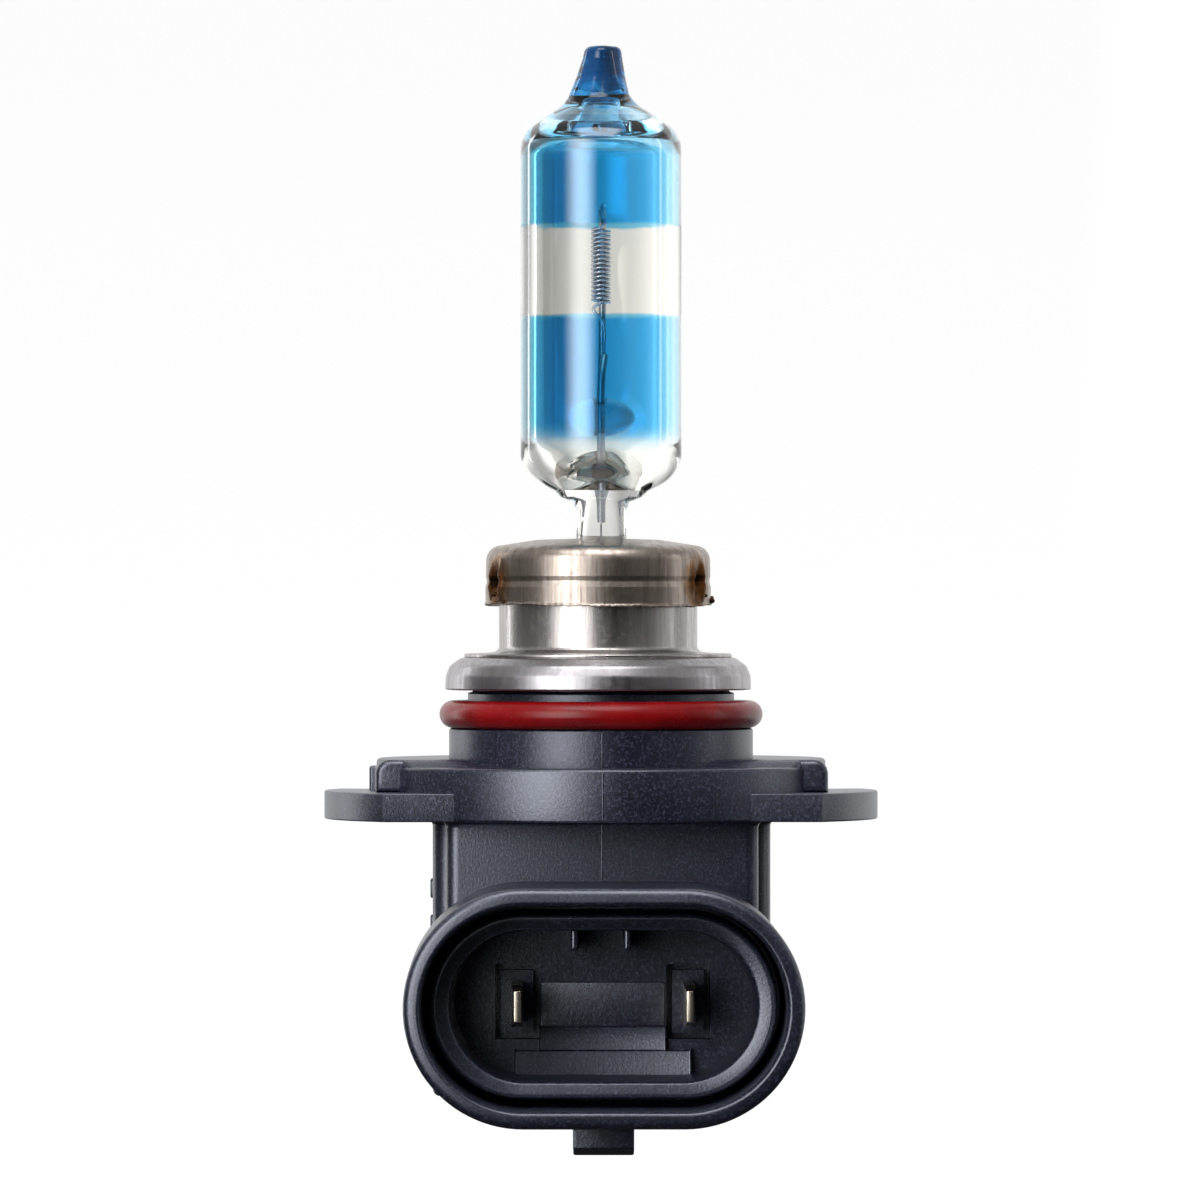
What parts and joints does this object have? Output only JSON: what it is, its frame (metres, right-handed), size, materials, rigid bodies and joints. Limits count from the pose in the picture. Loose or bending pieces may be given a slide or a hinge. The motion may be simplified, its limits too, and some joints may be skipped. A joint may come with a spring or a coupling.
{
  "type": "halogen headlight bulb",
  "caption": "Halogen headlight bulb with a tinted quartz capsule, axial filament, metal holder, sealed bayonet base and right-angle plug socket.",
  "frame": {"origin": "on the lamp's axis, in the plane of the bayonet lugs' upper faces, which seat in the lamp holder", "axes": "+Z along the lamp's axis towards the glass tip; the plug socket opens towards -Y; +X to the right as seen looking into the socket"},
  "size_m": [0.0384, 0.0452, 0.0758],
  "materials": {
    "quartz_glass": "clear quartz with a blue interference coating",
    "tungsten": "drawn wire, dull grey",
    "molybdenum": "drawn wire and thin foil, satin",
    "nickel_plate": "bright nickel on drawn steel sheet, with heat tint at the welds",
    "tin_plate": "tinned brass strip",
    "dark_plastic": "glass-filled nylon, satin with fine speckle",
    "red_silicone": "smooth red silicone",
    "grey_silicone": "grey silicone"
  },
  "bodies": {
    "root": {"glass_envelope": "quartz_glass", "quartz_bridge": "quartz_glass", "filament": "tungsten", "lead_short": "molybdenum", "lead_long": "molybdenum", "seal_foil_front": "molybdenum", "seal_foil_rear": "molybdenum", "outer_lead_front": "molybdenum", "outer_lead_rear": "molybdenum", "holder_cup": "nickel_plate", "pinch_clip": "nickel_plate", "focus_sleeve": "nickel_plate", "locating_flange": "nickel_plate", "base_moulding": "dark_plastic", "rear_cover": "dark_plastic", "o_ring": "red_silicone", "lead_grommet_front": "grey_silicone", "lead_grommet_rear": "grey_silicone", "terminal_left": "tin_plate", "terminal_right": "tin_plate"}
  },
  "joints": []
}
